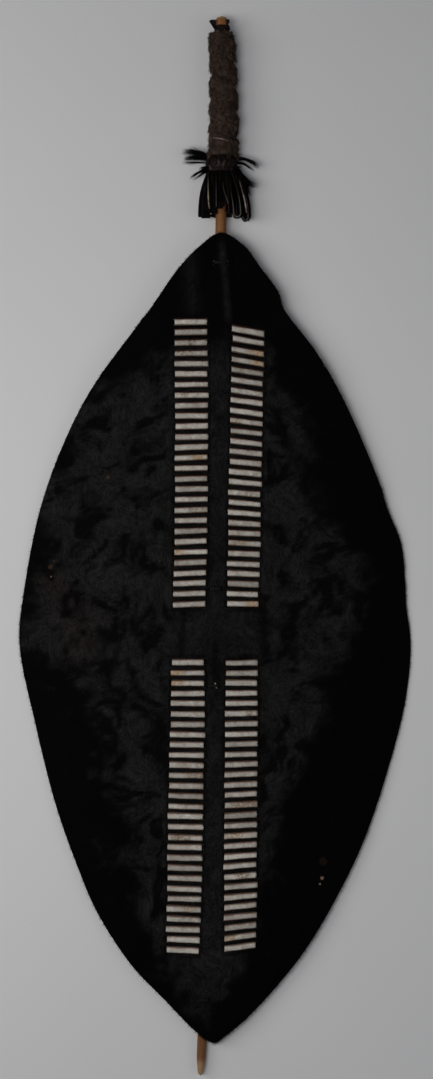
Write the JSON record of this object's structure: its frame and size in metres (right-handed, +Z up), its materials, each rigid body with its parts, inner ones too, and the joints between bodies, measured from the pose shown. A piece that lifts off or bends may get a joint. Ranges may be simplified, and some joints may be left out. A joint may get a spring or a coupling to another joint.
{
  "type": "hide shield",
  "caption": "Tall pointed oval shield of black cowhide laced with white hide strips, on a long stick with fur and a fringe at its head. It is carried in one hand.",
  "frame": {"origin": "on the ground, under the middle of the whole shield as it lies face up", "axes": "+Y along the stick to its fur-wrapped head, +X to the right as the front is looked at, +Z up out of the front"},
  "size_m": [0.6092, 1.642, 0.0441],
  "materials": {
    "hide_black": "short glossy black hair",
    "lacing_white": "white raw hide, stained in places",
    "wood": "worn, hand-smoothed",
    "fur_brown": "matt fur",
    "fringe_black": "black hide strips with hair",
    "thong_dark": "dark greased hide"
  },
  "bodies": {
    "root": {"hide": "hide_black", "lacing_upper_left": "lacing_white", "lacing_upper_right": "lacing_white", "lacing_lower_left": "lacing_white", "lacing_lower_right": "lacing_white", "stick": "wood", "stick_tie_head": "thong_dark", "stick_tie_above_grip": "thong_dark", "stick_tie_below_grip": "thong_dark", "stick_tie_foot": "thong_dark", "fur_wrap": "fur_brown", "fringe": "fringe_black", "head_tie": "thong_dark"}
  },
  "joints": []
}
